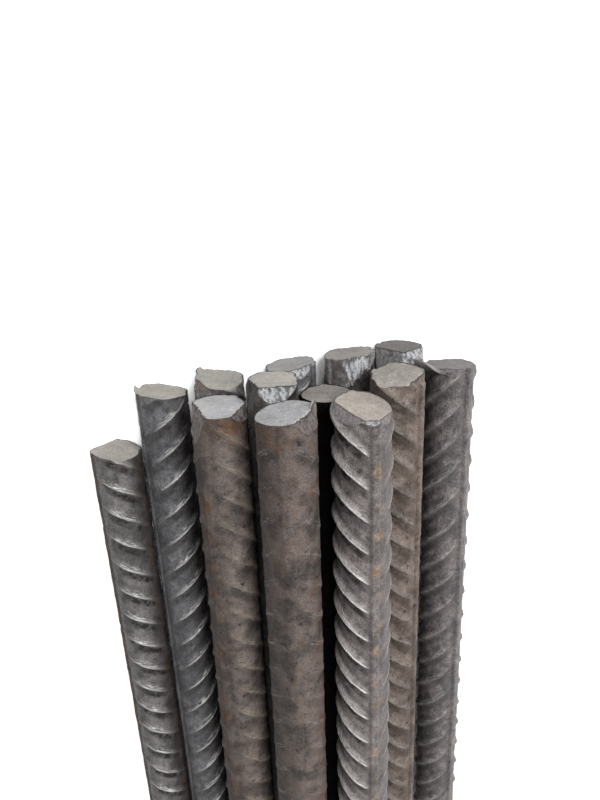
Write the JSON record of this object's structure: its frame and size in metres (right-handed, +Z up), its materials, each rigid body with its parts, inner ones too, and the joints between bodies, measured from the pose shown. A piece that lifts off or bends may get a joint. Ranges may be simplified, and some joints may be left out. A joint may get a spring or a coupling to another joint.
{
  "type": "reinforcing bar bundle",
  "caption": "Loose heap of ribbed steel reinforcing bars with sheared ends, lying side by side and in low rows on the floor.",
  "frame": {"origin": "middle of the heap's box at floor level", "axes": "+Z up, +Y along the bars from their sheared ends to their plain ends, +X to the left as seen from above the sheared ends with those at the top"},
  "size_m": [0.14, 1.0323, 0.0472],
  "materials": {
    "clean_mill_scale_steel": "hot-rolled steel with its dark blue-grey mill scale",
    "weathered_grey_steel": "hot-rolled steel, mill scale weathered to dull grey, bright where the shear cut it",
    "rust_mottled_steel": "hot-rolled steel with brown rust mottling between and along the ribs"
  },
  "bodies": {
    "root": {"bar_01": "weathered_grey_steel", "bar_02": "clean_mill_scale_steel", "bar_03": "rust_mottled_steel", "bar_04": "rust_mottled_steel", "bar_05": "weathered_grey_steel", "bar_06": "rust_mottled_steel", "bar_07": "clean_mill_scale_steel", "bar_08": "weathered_grey_steel", "bar_09": "weathered_grey_steel", "bar_10": "clean_mill_scale_steel", "bar_11": "weathered_grey_steel", "bar_12": "weathered_grey_steel", "bar_13": "clean_mill_scale_steel"}
  },
  "joints": []
}
